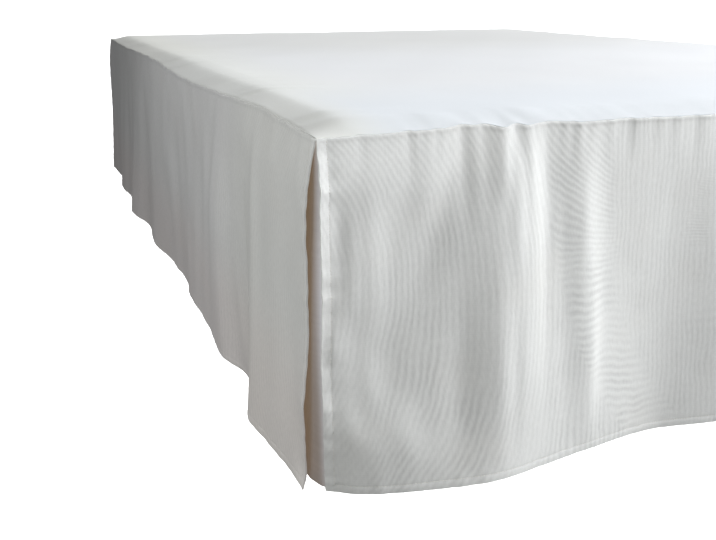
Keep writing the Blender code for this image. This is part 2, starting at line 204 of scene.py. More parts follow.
# How much lower than its solid's the left hem hangs, and where along it.
HEM_SAG = (0.0028, 0.0023, 0.0015, 0.0048, 0.0044, 0.0008, 0.0014, 0.0040, 0.0008, 0.0052,
           0.0048, 0.0018, 0.0036, 0.0015, 0.0015)
HEM_SAG_AT = (0.00, 0.11, 0.172, 0.27, 0.33, 0.38, 0.46, 0.52, 0.60, 0.70, 0.80, 0.90, 1.03,
              1.20, 1.909)
SEAM_RIDGE = 0.0007  # rounded ridge of the seam allowance under the deck's edge
SEAM_RIDGE_DEPTH = 0.0045
SEAM_TUCK = 0.0009  # both cloths turn in this far at the seam
SEAM_SCALLOP = 0.0007  # the foot's gathers pull its seam in and out by this much
STITCH_PITCH = 0.0032
STITCH_LENGTH = 0.0024
STITCH_WIDTH = 0.00055
STITCH_RISE = 0.00022
FIRST_STITCH = 0.004  # below the seam

# -------- mesh spacing

EDGE_STEPS = (0.0, 0.0008, 0.0024, 0.0046, 0.0066, 0.0078, 0.0084, 0.0088, 0.0092,
              0.0098, 0.0110, 0.0130, 0.0160)
SEAM_STEPS = (0.0, 0.0004, 0.0009, 0.0016, 0.0026, 0.0038, 0.0052, 0.0070, 0.0095, 0.0130)
Stretch = namedtuple("Stretch", "end pitch")  # one pitch up to a place along the wall
LEFT_MESH = (Stretch(0.48, 0.0042), Stretch(1.909, 0.0085))
FOOT_MESH = (Stretch(0.36, 0.0038), Stretch(1.3678, 0.0062))
RIGHT_MESH = (Stretch(1.909, 0.0095),)
DROP_PITCH = 0.0052
NORMAL_STEP = 0.0006  # how far beside a stitch its panel's slope is taken
SHEET_SHARP = 55  # edges sharper than this many degrees aren't smoothed
BASE_SHARP = 60


# -------- curves and fields

def curve(x, xs, ys):
    """Soft curve through the rows xs, ys, with no overshoot. ys may be arrays like x."""
    x = np.asarray(x, float)
    steps = [(b - a) / (q - p) for a, b, p, q in zip(ys, ys[1:], xs, xs[1:])]
    slopes = [steps[0]]
    for a, b in zip(steps, steps[1:]):
        same_way = np.asarray(a * b > 0)
        slopes.append(np.where(same_way, 2 * a * b / np.where(same_way, a + b, 1), 0.0))
    slopes.append(steps[-1])
    value = np.zeros(np.broadcast(x, ys[0]).shape)
    for i in range(len(xs) - 1):
        width = xs[i + 1] - xs[i]
        t = np.clip((x - xs[i]) / width, 0, 1)
        piece = ((1 + 2 * t) * (1 - t) ** 2 * ys[i] + t * (1 - t) ** 2 * width * slopes[i]
                 + t * t * (3 - 2 * t) * ys[i + 1] + t * t * (t - 1) * width * slopes[i + 1])
        value = np.where(x >= xs[i] if i else True, piece, value)
    return value


def table_curve(x, table, by, name):
    """Soft curve of one column of a table over another."""
    return curve(x, *([getattr(row, column) for row in table] for column in (by, name)))


def blend(start, end, share):
    return start + (end - start) * share


def ease(x, start, end):
    """0 before start, 1 after end and soft between; runs down where end is below start."""
    t = np.clip((x - start) / (end - start), 0, 1)
    return t * t * (3 - 2 * t)


def bump(x, centre, half_width):
    return np.exp(-((x - centre) / half_width) ** 2)


def soft_noise(x, y, seed, waves, longest, shortest, stretch=1.0):
    """Seeded sum of plane waves, about -1 to 1; stretch lengthens them along y."""
    rng = np.random.default_rng(seed)
    total = np.zeros(np.broadcast(x, y).shape)
    for _ in range(waves):
        length = math.exp(rng.uniform(math.log(shortest), math.log(longest)))
        heading = rng.uniform(0, math.pi)
        phase = rng.uniform(0, 2 * math.pi)
        k = 2 * math.pi / length
        total += np.sin(k * (x * math.cos(heading) + y * math.sin(heading) / stretch) + phase)
    return total / math.sqrt(waves)


# -------- walls of the skirt

Wall = namedtuple("Wall", "name corner run out length seam folds creases sway mesh seed")
LEFT = Wall("side_panel_left", (-SKIRT_WIDTH / 2, FOOT_Y), (0, 1), (-1, 0), SKIRT_LENGTH,
            LEFT_SEAM, LEFT_FOLDS, LEFT_CREASES, LEFT_SWAY, LEFT_MESH, 11)
RIGHT = Wall("side_panel_right", (SKIRT_WIDTH / 2, FOOT_Y), (0, 1), (1, 0), SKIRT_LENGTH,
             RIGHT_SEAM, RIGHT_FOLDS, (), LEFT_SWAY, RIGHT_MESH, 23)
FOOT = Wall("foot_panel", (-SKIRT_WIDTH / 2, FOOT_Y), (1, 0), (0, -1), SKIRT_WIDTH,
            FOOT_SEAM, FOOT_FOLDS, FOOT_CREASES, FOOT_SWAY, FOOT_MESH, 37)


def seam_slip(wall, along):
    slip = table_curve(along, wall.seam, "along", "inward")
    if wall is FOOT:
        scallops = soft_noise(along, 0 * along, SCALLOP_SEED, 8, *SCALLOP_LENGTHS)
        slip = slip + SEAM_SCALLOP * scallops * ease(along, 0.045, 0.10)
    return slip


def drawn_slip(wall, along):
    """The seam's slip, pulled in and out by the panel's gathers and creases."""
    return seam_slip(wall, along) - crease_height((*wall.creases, *gathers(wall)), along, 0.0)


def crease_height(creases, along, share):
    """Sum of a wall's creases, each fading out towards its two ends."""
    total = np.zeros(np.broadcast(along, share).shape)
    for c in creases:
        if abs(c.to_at - c.at) > abs(c.to_share - c.share) * DROP:
            way = (along - c.at) / (c.to_at - c.at)
            across = (share - blend(c.share, c.to_share, way)) * DROP
        else:
            way = (share - c.share) / (c.to_share - c.share)
            across = along - blend(c.at, c.to_at, way)
        start = 1.0 if c.share == 0 else ease(way, -0.3, 0.35)
        total += c.height * bump(across, 0, c.width) * start * ease(way, 1.25, 0.3)
    return total


def gathers(wall):
    """Small seeded gathers where none is listed."""
    rng = np.random.default_rng(wall.seed)
    placed = [c.at for c in wall.creases if c.share == 0]
    made = []
    at = (max(placed) if placed else 0.0) + rng.uniform(*GATHER_STEP)
    while at < wall.length - 0.03:
        height = rng.uniform(*GATHER_HEIGHT) * rng.choice((-1, 1))
        width = rng.uniform(*GATHER_WIDTH) * (1 if wall is FOOT else 2)
        made.append(Crease(at, 0.0, at + rng.uniform(-GATHER_DRIFT, GATHER_DRIFT),
                           rng.uniform(*GATHER_SHARE), width, height))
        at += rng.uniform(*GATHER_STEP)
    return made


def side_distance(wall, column):
    """Distance from a panel's nearer free edge, along the hem."""
    return np.minimum(column - wall.folds[0].hem_at, wall.folds[-1].hem_at - column)


def sewn_relief(wall, column, share):
    """Hems, their stitched lines and puckers, and the ridge under the seam."""
    down = share * DROP
    from_hem = DROP - down
    from_side = side_distance(wall, column)
    nearest = np.minimum(from_hem, from_side)
    puff = HEM_PUFF * ease(nearest, 0.0, 0.0030) * ease(nearest, HEM + 0.001, HEM - 0.0045)
    dent = STITCH_DENT * bump(nearest, HEM, STITCH_DENT_WIDTH)
    around = np.where(from_side < from_hem, down, column)
    ripple = soft_noise(around, 0 * around, wall.seed + 5, 9, *RIPPLE_LENGTHS)
    pucker = HEM_PUCKER * ripple * ease(nearest, 0.024, 0.006)
    if wall is FOOT:
        pucker = pucker + SIDE_PUCKER * ripple * ease(from_side, 0.017, 0.004)
    ridge = SEAM_RIDGE * ease(down, 0.0, 0.0014) * ease(down, SEAM_RIDGE_DEPTH + 0.002, 0.0024)
    rolled = np.clip(1 - from_side / (1.5 * HEM), 0, 1) ** 2
    turned = curve(share, HEM_FLARE_AT, HEM_FLARE) if wall is FOOT else SIDE_FLARE
    flare = turned * rolled * ease(share, 0.0, 0.06)
    tuck = seam_tuck(wall, column) * ease(down, 0.0012, 0.0)
    return puff - dent + pucker + ridge + flare - tuck


def seam_tuck(wall, along):
    """How far both cloths turn in at the seam: drawn tight by the corner, slack past it."""
    slack, fades = (0.05, 0.030) if wall is FOOT else (0.45, 0.60)
    return SEAM_TUCK * blend(slack, 1.0, ease(along, fades, fades * 0.4))


def swayed(wall, column, share):
    """Along and outward strays of a free edge, fading out away from the split."""
    near = ease(column - wall.folds[0].hem_at, SWAY_REACH, 0.0)
    return [near * table_curve(share, wall.sway, "share", name) for name in ("along", "out")]


def panel_place(wall, column, share, creases):
    """Points of a panel's face, and where they lie along the wall."""
    seam_at, upper, middle, hem = (table_curve(column, wall.folds, "hem_at", name)
                                   for name in ("seam_at", "upper", "middle", "hem"))
    slip = seam_slip(wall, seam_at)
    outward = curve(share, (0.0, UPPER, MIDDLE, 1.0), (-slip, upper, middle, hem))
    along = blend(seam_at, column, share)
    stray_along, stray_out = swayed(wall, column, share)
    uneven = soft_noise(along, share * DROP, wall.seed + 1, SOFT_WAVES, *SOFT_LENGTHS, 2.2)
    outward = (outward + stray_out + crease_height(creases, along, share)
               + SOFT_HEIGHT * uneven * ease(share, 0.02, 0.25) + sewn_relief(wall, column, share))
    top_z = SEAM_Z - GAP + SEAM_LIFT * drawn_slip(wall, along)
    hem_z = SEAM_Z - np.sqrt(DROP ** 2 - hem ** 2)
    if wall is LEFT:
        hem_z = hem_z - curve(column, HEM_SAG_AT, HEM_SAG)
    place = along + stray_along
    x = wall.corner[0] + wall.run[0] * place + wall.out[0] * outward
    y = wall.corner[1] + wall.run[1] * place + wall.out[1] * outward
    return np.stack([x, y, blend(top_z, hem_z, share)], -1), along


# -------- meshes

def unit(vectors):
    return vectors / np.maximum(np.linalg.norm(vectors, axis=-1, keepdims=True), 1e-12)


def normals_of(grid, towards):
    """A grid's unit normals on the side of towards, and -1 where its winding faces away."""
    normal = unit(np.cross(np.gradient(grid, axis=1), np.gradient(grid, axis=0)))
    way = np.sign((normal * towards).sum())
    return normal * way, way


def quads_of(index):
    """The cells of a grid of point numbers, wound from its first row to the next."""
    cells = (index[:-1, :-1], index[:-1, 1:], index[1:, 1:], index[1:, :-1])
    return np.stack(cells, -1).reshape(-1, 4)


def rim_quads(front, back):
    """Closes the four sides between two grids of point numbers."""
    rims = [(grid[0, ::-1], grid[::-1, -1], grid[-1], grid[:, 0]) for grid in (front, back)]
    return [quads_of(np.stack(pair)) for pair in zip(*rims)]


def smooth_mesh(name, points, faces):
    mesh = bpy.data.meshes.new(name)
    mesh.from_pydata(points, [], faces)
    mesh.shade_smooth()
    return mesh


def sheet_object(name, front, back, towards, maps, finish, body_slot):
    """A closed thin sheet from two grids, with its uv maps (name: (u, v) grids)."""
    points = np.concatenate([front.reshape(-1, 3), back.reshape(-1, 3)])
    near = np.arange(len(points) // 2).reshape(front.shape[:2])
    far = near + near.size
    faces = np.concatenate([quads_of(near), quads_of(far)[:, ::-1], *rim_quads(near, far)])
    if normals_of(front, towards)[1] < 0:
        faces = faces[:, ::-1]
    mesh = smooth_mesh(name, points.tolist(), faces.tolist())
    corners = np.empty(len(mesh.loops), dtype=np.int32)
    mesh.loops.foreach_get("vertex_index", corners)
    for map_name, grids in maps.items():
        flat = np.stack([np.concatenate([grid.ravel()] * 2) for grid in grids], -1)
        layer = mesh.uv_layers.new(name=map_name)
        layer.data.foreach_set("uv", flat[corners].astype(np.float32).ravel())
    mesh.set_sharp_from_angle(angle=math.radians(SHEET_SHARP))
    return placed(name, mesh, finish, body_slot)


def placed(name, mesh, finish, body_slot):
    """The mesh as a piece of the part's one body, in its finish."""
    mesh.materials.append(finish)
    piece = linked(name, mesh)
    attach(piece, "root")
    return piece


def linked(name, data):
    made = bpy.data.objects.new(name, data)
    bpy.context.collection.objects.link(made)
    return made


def spaced(start, stretches, near_edges):
    """Places from start to the last stretch's end, crowded near both ends."""
    end = stretches[-1].end
    places = []
    at = start + near_edges[-1]
    for stretch in stretches:
        stop = min(stretch.end, end - near_edges[-1])
        count = max(1, round((stop - at) / stretch.pitch))
        places += [blend(at, stop, i / count) for i in range(count)]
        at = stop
    return np.array([start + step for step in near_edges[:-1]] + places
                    + [end - step for step in reversed(near_edges)])


def drop_shares():
    """Rows of a panel: crowded under the seam and over the hem."""
    middle = np.arange(SEAM_STEPS[-1] + DROP_PITCH, DROP - EDGE_STEPS[-1] - DROP_PITCH / 2,
                       DROP_PITCH)
    return np.array([*SEAM_STEPS, *middle, *(DROP - step for step in reversed(EDGE_STEPS))]) / DROP


# -------- materials

class Wire:
    """A number in a material's tree. Sums and products of wires are its nodes."""

    def __init__(self, socket):
        self.socket = socket

    def through(self, kind, settings, **links):
        return Wire(node(self.socket.id_data, kind, settings, **links).outputs[0])

    def calc(self, operation, *others, swapped=False):
        values = (self, *others)[::-1 if swapped else 1]
        return self.through("ShaderNodeMath", {"operation": operation},
                            **{f"_{i}": value for i, value in enumerate(values)})

    __add__ = partialmethod(calc, "ADD")
    __sub__ = partialmethod(calc, "SUBTRACT")
    __rsub__ = partialmethod(calc, "SUBTRACT", swapped=True)
    __mul__ = partialmethod(calc, "MULTIPLY")
    power = partialmethod(calc, "POWER")
    at_least = partialmethod(calc, "MAXIMUM")
    size = partialmethod(calc, "ABSOLUTE")

    def wave(self, pitch):
        return (self * (2 * math.pi / pitch)).calc("SINE")

    def remap(self, low, high, to_low=0.0, to_high=1.0, soft=True):
        """From one value at low to another at high, and level outside them."""
        kind = "SMOOTHSTEP" if soft else "LINEAR"
        return self.through("ShaderNodeMapRange", {"interpolation_type": kind},
                            _0=self, _1=low, _2=high, _3=to_low, _4=to_high)

    def mix(self, first, second):
        """The first number where this one is 0, the second where it is 1."""
        return self.through("ShaderNodeMix", {"data_type": "FLOAT"}, _0=self, _2=first, _3=second)


def new_material(name, roughness, **constants):
    """A Principled material with its plain sockets set, and its tree."""
    made = bpy.data.materials.new(name)
    made.use_nodes = True
    shader = made.node_tree.nodes["Principled BSDF"]
    for socket, value in {"Roughness": roughness, "Metallic": 0.0, **constants}.items():
        shader.inputs[socket.replace("_", " ")].default_value = value
    return made, made.node_tree


def plug(tree, value, socket):
    """Sets a socket to a value, or links a wire or another socket to it."""
    value = getattr(value, "socket", value)
    if isinstance(value, bpy.types.NodeSocket):
        tree.links.new(value, socket)
    else:
        socket.default_value = value


def node(tree, kind, settings=None, **links):
    """A node with its settings, and its sockets set or linked by name or as _number."""
    made = tree.nodes.new(kind)
    for key, value in (settings or {}).items():
        setattr(made, key, value)
    for name, value in links.items():
        plug(tree, value, made.inputs[int(name[1:]) if name[0] == "_" else name])
    return made


def uv_parts(tree, layer):
    """One of a sheet's maps, and its u and v, in metres."""
    uv = node(tree, "ShaderNodeUVMap", {"uv_map": layer}).outputs[0]
    parts = node(tree, "ShaderNodeSeparateXYZ", Vector=uv)
    return uv, Wire(parts.outputs[0]), Wire(parts.outputs[1])


def object_place(tree):
    return node(tree, "ShaderNodeTexCoord").outputs["Object"]


def noise(vector, scale, detail=2.0, stretch=(1, 1, 1)):
    tree = vector.id_data
    place = node(tree, "ShaderNodeMapping", Vector=vector, Scale=stretch).outputs[0]
    found = node(tree, "ShaderNodeTexNoise", Vector=place, Scale=scale, Detail=detail)
    return Wire(found.outputs["Fac"])


def mix_colours(tree, share, first, second, kind="MIX"):
    """Colours mixed by a share: three numbers each, or another node's socket."""
    first, second = ((*c, 1) if isinstance(c, tuple) else c for c in (first, second))
    settings = {"data_type": "RGBA", "blend_type": kind}
    return node(tree, "ShaderNodeMix", settings, _0=share, _6=first, _7=second).outputs[2]


def tinted(tree, colour, share, tint):
    """The colour multiplied by a tint, by a share of its strength."""
    return mix_colours(tree, share, colour, tint, kind="MULTIPLY")


def finished(made, colour, layers=()):
    """The material with its colour and a chain of bumps (height, distance, strength)."""
    tree, wired = made.node_tree, {}
    for height, distance, strength in layers:
        bump_node = node(tree, "ShaderNodeBump", Height=height, Distance=distance,
                         Strength=strength, **wired)
        wired = {"Normal": bump_node.outputs[0]}
    wired["Base Color"] = colour
    for name, socket in wired.items():
        plug(tree, socket, tree.nodes["Principled BSDF"].inputs[name])
    return made


# In the cloths' maps u runs along the seam from the corner that shows, and v down the
# drop or towards the head, both in metres.
RIB_PITCH = 0.0070  # the ribs that show from a step away
RIB_WAIST = 0.155  # they bow sideways away from this far down the drop,
RIB_BOW = (2.6, 1.5)  # above it and below it,
RIB_WANDER = (0.026, 0.009)  # and wander with two noises
LEVEL_PITCH = 0.0098  # the level ribs that cross them in patches
LEVEL_STRENGTH = 1.5  # show more,
LEVEL_LEAN = (0.9, 0.27)  # lean by this slope near the seam, about this place along it,
LEVEL_WANDER = (0.030, 0.012)  # and wander too
LEVEL_PATCH = (0.254, 2.2)  # their patch starts here at the seam and drifts with depth
WEFT_PITCH = 0.0024  # the cross threads between them
WEFT_LIGHT = 0.008
SLUB_LIGHT = 0.16  # how much the uneven threads lighten and darken the cloth
WEAVE_PITCH = 0.0011
CLOTH_ROUGHNESS = 0.86
CLOTH_SHEEN = {"Sheen_Weight": 0.12, "Sheen_Roughness": 0.5}
WHITE = (0.800, 0.813, 0.805)
WORN = (0.785, 0.783, 0.762)  # patches of the white
UNDERLAY_SHADED_WHITE = (0.620, 0.613, 0.614)  # the underlays: the panels' white darkened, painted shade of their recess behind the panels
HEM_LIGHTER = 0.050  # a doubled hem lets less of the shade through

# Tints that set in along u or v, from one place to where they are full.
SIDE_TINTS_AND_PAINTED_BOUNCE = (("v", 0.17, 0.32, (1.035, 0.985, 0.975)),  # redder towards the floor: painted warm light bounced up from the floor
              ("u", 0.25, 0.42, (0.995, 0.990, 1.015)))  # bluer away from the corner

DECK_WEAVE_PITCH = 0.0007
DECK_WHITES = ((0.822, 0.838, 0.852), (0.846, 0.861, 0.874))
DECK_EDGE_PAINTED_WARM_LIGHT = (0.985, 0.985, 0.935)  # painted warm light on the deck by its left edge,
DECK_HEAD_PAINTED_SHADE = (0.880, 0.870, 0.835)  # painted shade, darker and warmer towards the head where the light falls off,
DECK_FOOT_PAINTED_COOL_LIGHT = (0.968, 1.000, 1.030)  # and painted cool light, bluest by the foot
THREAD_COLOURS = ((0.80, 0.78, 0.73), (0.72, 0.70, 0.65))
COVER_COLOURS = ((0.40, 0.375, 0.34), (0.52, 0.495, 0.455))
COVER_SEAM_COLOUR = (0.22, 0.20, 0.18)
COVER_PITCH = 0.0024
COVER_SEAM_WIDTH = 0.0016
WOOD_COLOURS = ((0.105, 0.060, 0.032), (0.215, 0.130, 0.075))
PAPER_COLOURS = ((0.90, 0.90, 0.90), (0.93, 0.93, 0.93))


def wandering(place, wander, warp, ripple):
    return place + warp * wander[0] + ripple * wander[1]


def rib_waves(u, v, warp, ripple, crossed):
    """Ribs that run down the drop and bow sideways, crossed by patches of level ones."""
    above, below = (RIB_WAIST - v).at_least(0.0), (v - RIB_WAIST).at_least(0.0)
    bow = below.power(2.0) * RIB_BOW[1] + above.power(2.0) * RIB_BOW[0]
    across = u + bow * u.remap(0.07, 0.32, 1.0, 0.03, soft=False)
    upright = wandering(across, RIB_WANDER, warp, ripple).wave(RIB_PITCH)
    if not crossed:
        return upright
    slanted = v - v.remap(0.03, 0.18, LEVEL_LEAN[0], 0.0) * (u - LEVEL_LEAN[1])
    level = wandering(slanted, LEVEL_WANDER, warp, ripple).wave(LEVEL_PITCH)
    return level_patches(u, v, warp).mix(upright, level * LEVEL_STRENGTH)


def rib_strength(u, v):
    """Ribs fade beside the corner, in the bright fold, and higher up the drop."""
    in_fold = u.remap(0.185, 0.205, 0.0, 0.62) * u.remap(0.240, 0.262, 1.0, 0.0)
    by_corner = u.remap(0.02, 0.10, 0.50, 0.0)
    faded = (1.0 - in_fold - by_corner) * u.remap(0.32, 0.42, 1.0, 0.62)
    return faded * v.remap(0.02, 0.26, 0.72, 1.45)


def level_patches(u, v, warp):
    """Where the level ribs show: past the foot's bright fold, and here and there."""
    past_fold = u - (v.size().power(3.0) * LEVEL_PATCH[1] + LEVEL_PATCH[0])
    beside = past_fold.remap(0.0, 0.014) * past_fold.remap(0.075, 0.105, 1.0, 0.0)
    scattered = warp.remap(0.56, 0.64) * u.remap(0.33, 0.36)
    return beside.at_least(scattered)


def ribbed_cloth(name, cloth, rib_depth, crossed=False, tints=()):
    """The panels' cloth: ribs over a fine weave, patchy in strength, paler at its hems."""
    made, tree = new_material(name, CLOTH_ROUGHNESS, Specular_IOR_Level=0.25, **CLOTH_SHEEN)
    uv, u, v = uv_parts(tree, "weave")
    _, from_side, _ = uv_parts(tree, "edges")
    warp = noise(uv, 7.0, 2.0, (1, 0.7, 1))
    ripple = noise(uv, 34.0, 2.0, (1, 0.6, 1))
    ribs = rib_waves(u, v, warp, ripple, crossed)
    patchy = noise(uv, 15.0, 3.0).remap(0.34, 0.60, 0.15, 1.15)
    if crossed:
        broken = noise(uv, 48.0, 2.0, (1, 0.45, 1)).remap(0.36, 0.64, 0.50, 1.30)
        patchy = patchy * rib_strength(u, v) * broken
    slub = noise(uv, 420.0, 2.0, (1, 0.35, 1))
    furrow = ribs.remap(-1.0, 1.0, rib_depth, 0.0, soft=False) * patchy
    light = 1.0 - furrow + (slub - 0.5) * SLUB_LIGHT + v.wave(WEFT_PITCH) * WEFT_LIGHT
    light = light + from_side.remap(0.0045, HEM - 0.0004, HEM_LIGHTER, 0.0)
    worn = tuple(c * w / n for c, w, n in zip(cloth, WORN, WHITE))
    colour = mix_colours(tree, noise(uv, 9.0, 3.0).remap(0.45, 0.75, 0.0, 0.35), cloth, worn)
    grey = node(tree, "ShaderNodeCombineColor", Red=light, Green=light, Blue=light).outputs[0]
    colour = tinted(tree, colour, 1.0, grey)
    for axis, start, end, tint in tints:
        colour = tinted(tree, colour, {"u": u, "v": v}[axis].remap(start, end), tint)
    return finished(made, colour, ((ribs, 0.00010, 0.45), (v.wave(WEAVE_PITCH), 0.00006, 0.35),
                                   (slub, 0.0002, 0.35)))


def smooth_white():
    """The deck's cloth: a close plain weave, faintly blue, with soft creases, and painted light:
    warm light by its left edge, shade towards the head and cool light by the foot.
    """
    made, tree = new_material("deck_cloth", 0.80, Specular_IOR_Level=0.3, **CLOTH_SHEEN)
    uv, u, v = uv_parts(tree, "weave")
    colour = mix_colours(tree, noise(uv, 2.5, 3.0).remap(0.3, 0.7), *DECK_WHITES)
    by_foot = v.remap(0.08, 0.40, 1.0, 0.0) * u.remap(0.02, 0.10)
    beside_edge = u.remap(0.05, 0.22, 1.0, 0.0) * (1.0 - by_foot)
    # painted warm light along the deck's left edge
    colour = tinted(tree, colour, beside_edge, DECK_EDGE_PAINTED_WARM_LIGHT)
    # painted shade towards the head, where the light falls off
    colour = tinted(tree, colour, v.remap(0.6, 1.35), DECK_HEAD_PAINTED_SHADE)
    # painted cool light by the foot
    colour = tinted(tree, colour, by_foot, DECK_FOOT_PAINTED_COOL_LIGHT)
    weave = u.wave(DECK_WEAVE_PITCH) * v.wave(DECK_WEAVE_PITCH)
    soft = noise(uv, 14.0, 3.0)
    return finished(made, colour, ((weave, 0.00004, 0.3), (soft, 0.0015, 0.18)))


def thread_material():
    made, tree = new_material("sewing_thread", 0.6, Sheen_Weight=0.2)
    twist = noise(object_place(tree), 900.0, 1.0)
    return finished(made, mix_colours(tree, twist, *THREAD_COLOURS))


def base_cloth():
    """The bed base's own cover: a coarse warm-grey plain weave with a sewn line."""
    made, tree = new_material("base_cover", 0.9, Sheen_Weight=0.25, Sheen_Roughness=0.5,
                              Specular_IOR_Level=0.2)
    place = object_place(tree)
    x, y, z = (Wire(part) for part in node(tree, "ShaderNodeSeparateXYZ", Vector=place).outputs)
    weave = (x + y).wave(COVER_PITCH) * z.wave(COVER_PITCH)
    flecks = noise(place, 320.0, 2.0)
    colour = mix_colours(tree, flecks.remap(0.35, 0.65), *COVER_COLOURS)
    seam = (z - (BASE_BOTTOM + BASE_SEAM)).size().remap(0.0, COVER_SEAM_WIDTH, 1.0, 0.0)
    colour = mix_colours(tree, seam * 0.6, colour, COVER_SEAM_COLOUR)
    return finished(made, colour, ((weave, 0.0003, 0.5), (seam * -1.0, 0.0015, 0.8)))


def stained_wood():
    made, tree = new_material("leg_wood", 0.42, Coat_Weight=0.25, Coat_Roughness=0.3)
    place = object_place(tree)
    grain = noise(place, 42.0, 5.0, (1, 1, 0.08))
    pores = noise(place, 300.0, 2.0, (1, 1, 0.05))
    colour = mix_colours(tree, grain.remap(0.3, 0.7), *WOOD_COLOURS)
    return finished(made, colour, ((grain, 0.0006, 0.3), (pores, 0.0003, 0.4)))


# -------- cloth pieces

def panel(wall, finish):
    creases = (*wall.creases, *gathers(wall))
    columns = spaced(wall.folds[0].hem_at, wall.mesh, EDGE_STEPS)
    column, share = np.meshgrid(columns, drop_shares())
    front, along = panel_place(wall, column, share, creases)
    from_side, from_hem = side_distance(wall, column), DROP * (1 - share)
    hemmed = ease(np.minimum(from_hem, from_side), HEM + 0.001, HEM - 0.001)
    towards = (*wall.out, 0)
    back = front - normals_of(front, towards)[0] * CLOTH * (1 + HEM_THICKER * hemmed)[..., None]
    maps = {"weave": (along, share * DROP), "edges": (from_side, from_hem)}
    piece = sheet_object(wall.name + "_cloth", front, back, towards, maps, finish, "panel_cloth")
    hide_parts(wall.name)
    return piece, creases


def stitch_row(wall, creases, column, share):
    """Where each stitch of a row lies on the panel's face, and the face's normal there."""
    place, _ = panel_place(wall, column, share, creases)
    side, _ = panel_place(wall, column + NORMAL_STEP, share, creases)
    below, _ = panel_place(wall, column, share + NORMAL_STEP / DROP, creases)
    normal = unit(np.cross(side - place, below - place))
    return place, normal * np.sign((normal * (*wall.out, 0.0)).sum(1, keepdims=True))


def stitches(wall, creases, finish):
    """The thread along both side hems and the bottom hem, as one joined mesh."""
    low, high = wall.folds[0].hem_at + HEM, wall.folds[-1].hem_at - HEM
    across = np.arange(low, high, STITCH_PITCH)
    down = np.arange(FIRST_STITCH, DROP - HEM, STITCH_PITCH) / DROP
    rows = ((across, np.full(len(across), 1 - HEM / DROP)),
            (np.full(len(down), low), down), (np.full(len(down), high), down))
    points = []
    half, wide = STITCH_LENGTH / 2, STITCH_WIDTH / 2
    for columns, shares in rows:
        place, normal = stitch_row(wall, creases, columns, shares)
        step = unit(np.gradient(place, axis=0))
        sideways = np.cross(normal, step)
        shape = [-step * half, step * half]
        for way in (-0.6, 0.6):
            shape += [step * half * way + to for to in (sideways * wide, normal * STITCH_RISE,
                                                        -sideways * wide, -normal * STITCH_RISE)]
        points += (place[:, None] + np.stack(shape, 1)).reshape(-1, 3).tolist()
    faces = [face for first in range(0, len(points), 10) for face in stitch_faces(first)]
    mesh = smooth_mesh(wall.name + "_stitches", points, faces)
    return placed(mesh.name, mesh, finish, "panel_cloth")


def stitch_faces(first):
    """A spindle of ten points: two ends, and two rings of four between them."""
    start, end, near, far = first, first + 1, first + 2, first + 6
    faces = []
    for i in range(4):
        j = (i + 1) % 4
        faces += [(start, near + j, near + i), (near + i, near + j, far + j, far + i),
                  (end, far + i, far + j)]
    return faces


UNDERLAY_COLUMNS = 96
UNDERLAY_DRAWN = 0.0026  # at its hem the bend is drawn in on the side
UNDERLAY_PUSHED = 0.0024  # and pushed out along the foot
UNDERLAY_FILL = 0.0042  # below its middle it fills the space behind the foot panel
UNDERLAY_LEAN = 0.0038  # and leans towards the side panel


def underlay_grid(side, sign, turn, share, depth):
    """Points of a corner underlay: turn runs from -1, along the side, to 1, along the foot."""
    radius = blend(*UNDERLAY_BEND, share ** 3) - depth
    on_side = turn < 0
    away = np.maximum(0.0, (np.abs(turn) - UNDERLAY_SHARE) / (1 - UNDERLAY_SHARE))
    along = away * UNDERLAY_LEG
    foot_place = along if sign > 0 else SKIRT_WIDTH - along
    slip = np.where(on_side, drawn_slip(side, along), drawn_slip(FOOT, foot_place))
    inward = blend(slip + UNDERLAY_BEHIND, -UNDERLAY_REACH, share) + depth
    middle = inward + radius
    reach = blend(middle, UNDERLAY_LEG, away)
    angle = np.radians(45 * (1 + np.clip(turn / UNDERLAY_SHARE, -1, 1)))
    x = np.where(away > 0, np.where(on_side, inward, reach), middle - radius * np.cos(angle))
    y = np.where(away > 0, np.where(on_side, reach, inward), middle - radius * np.sin(angle))
    drawn = UNDERLAY_DRAWN * bump(turn, -0.14, 0.14)
    pushed = UNDERLAY_PUSHED * bump(turn, 0.06, 0.12)
    x = x + drawn * share ** 2 - UNDERLAY_LEAN * bump(share, 0.50, 0.34)
    y = y - pushed * share ** 2 - UNDERLAY_FILL * bump(share, 0.60, 0.36)
    z = blend(SEAM_Z - GAP + SEAM_LIFT * slip, SEAM_Z - DROP, share)
    return np.stack([sign * (x - SKIRT_WIDTH / 2), FOOT_Y + y, z], -1), along


def corner_underlay(name, side, sign, finish):
    turn, share = np.meshgrid(np.linspace(-1, 1, UNDERLAY_COLUMNS), drop_shares())
    front, along = underlay_grid(side, sign, turn, share, 0.0)
    back, _ = underlay_grid(side, sign, turn, share, CLOTH)
    maps = {"weave": (along * np.sign(turn) + 3.0, share * DROP),
            "edges": (UNDERLAY_LEG - along, DROP * (1 - share))}
    piece = sheet_object(name + "_cloth", front, back, (-sign, -1, 0), maps, finish, "panel_cloth")
    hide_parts(name)
    return piece


DECK_ANGLES = (0, 10, 18, 24, 30, 36, 42, 47, 52, 57, 62, 66, 70, 73, 76, 79, 82, 84, 86, 88, 90)
DECK_SLOPE = 0.66  # share of the edge that slopes evenly, before it levels out
DECK_FINE = 0.0050  # pitch along the edges near the corner that shows
DECK_COARSE = 0.0125
DECK_WAVE = 0.0011
DECK_GATHER = 0.0012
DECK_FINE_UNTIL = (0.34, 0.30)  # across and down from the corner that shows


def deck_axis(length, fine_until):
    """Places across the deck's flat middle, closer together at the low end."""
    flat = length - 2 * DECK_EDGE
    fine = np.arange(0.0, fine_until, DECK_FINE)
    coarse = np.linspace(fine_until, flat, round((flat - fine_until) / DECK_COARSE))
    return np.concatenate([fine, coarse]) + DECK_EDGE


